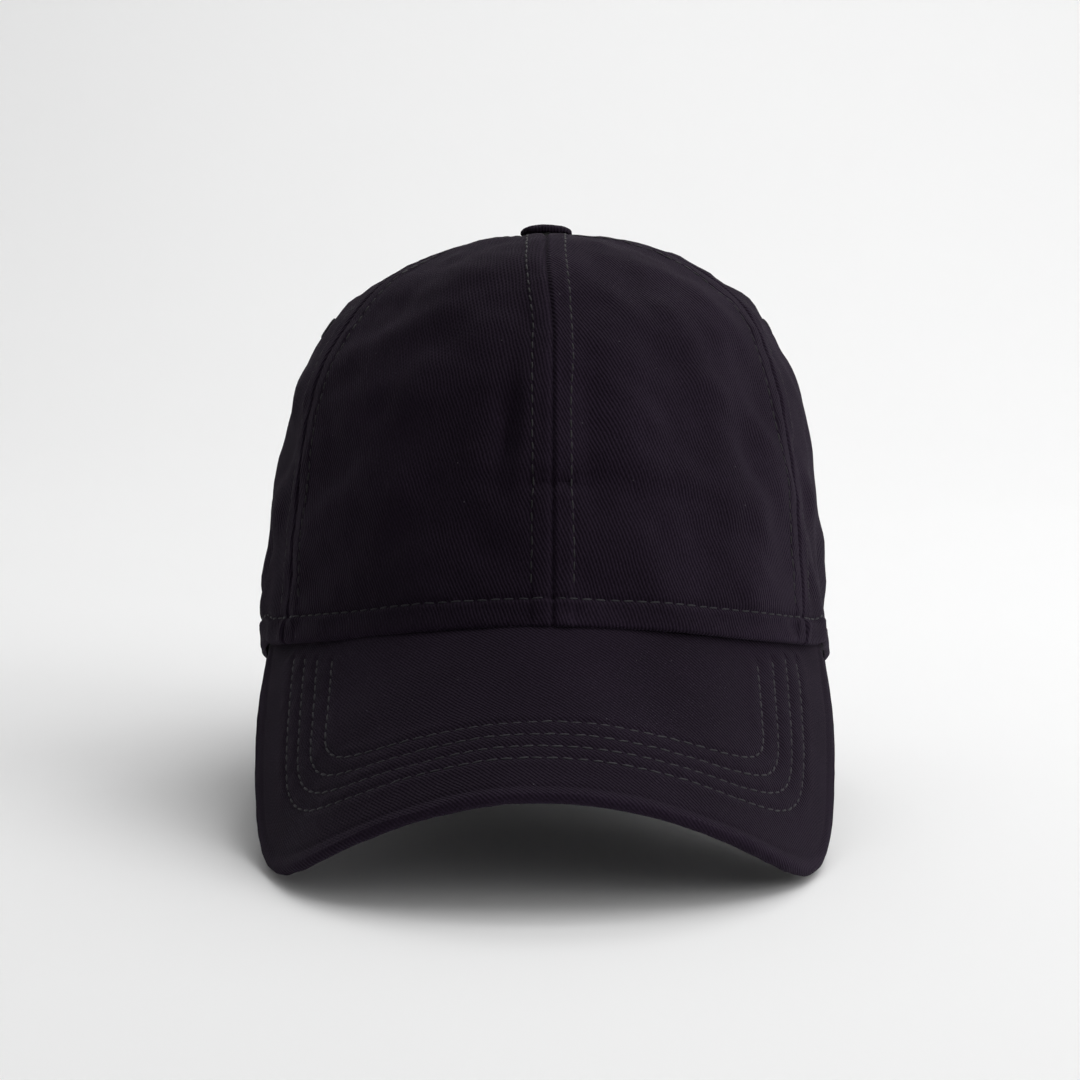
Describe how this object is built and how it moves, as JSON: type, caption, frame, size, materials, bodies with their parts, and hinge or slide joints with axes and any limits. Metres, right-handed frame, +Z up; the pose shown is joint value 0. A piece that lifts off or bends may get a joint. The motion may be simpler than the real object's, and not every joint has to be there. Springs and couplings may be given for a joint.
{
  "type": "baseball cap",
  "caption": "Soft baseball cap with a round panelled crown, a curved stiff visor and a rear opening closed by a cloth strap with a flip buckle.",
  "frame": {"origin": "centre of the bounding box in plan, on the surface the cap stands on", "axes": "+Z up, -Y out of the visor's front edge, +X to the wearer's left"},
  "size_m": [0.1778, 0.2774, 0.1766],
  "materials": {
    "crown_twill": "brushed cotton twill, near-black plum",
    "visor_twill": "brushed cotton twill, near-black plum",
    "strap_twill": "brushed cotton twill, near-black plum",
    "sweatband_twill": "plain cotton twill, black",
    "seam_tape": "flat woven cotton tape, black",
    "eyelet_thread": "wrapped polyester thread, charcoal",
    "woven_label": "satin-woven, blank",
    "visor_board": "moulded polyethylene board",
    "button_metal": "tinned steel",
    "aged_brass": "antique brass plating, satin"
  },
  "bodies": {
    "cap": {"front_panel_left": "crown_twill", "front_panel_right": "crown_twill", "side_panel_left": "crown_twill", "side_panel_right": "crown_twill", "back_panel_left": "crown_twill", "back_panel_right": "crown_twill", "visor_top_cover": "visor_twill", "visor_under_cover": "visor_twill", "visor_board": "visor_board", "button_cover": "crown_twill", "button_shell": "button_metal", "button_rivet": "button_metal", "eyelet_side_left": "eyelet_thread", "eyelet_side_right": "eyelet_thread", "eyelet_back_left": "eyelet_thread", "eyelet_back_right": "eyelet_thread", "seam_tape_front": "seam_tape", "seam_tape_front_left": "seam_tape", "seam_tape_front_right": "seam_tape", "seam_tape_back_left": "seam_tape", "seam_tape_back_right": "seam_tape", "seam_tape_back": "seam_tape", "opening_binding": "seam_tape", "sweatband": "sweatband_twill", "care_label": "woven_label", "buckle_tab": "strap_twill", "buckle_frame": "aged_brass", "buckle_pin": "aged_brass"},
    "strap": {"strap": "strap_twill"},
    "lever": {"buckle_lever": "aged_brass"}
  },
  "joints": [
    {"name": "strap_adjust", "type": "hinge", "parent": "cap", "child": "strap", "pos_m": [0, 0.04748, 0.03811], "axis": [0, 0.3256, 0.9455], "range_deg": [-10, 10]},
    {"name": "buckle_lever", "type": "hinge", "parent": "cap", "child": "lever", "pos_m": [-0.01633, 0.12337, 0.01198], "axis": [0, 0.3256, 0.9455], "range_deg": [-110, 0]}
  ]
}
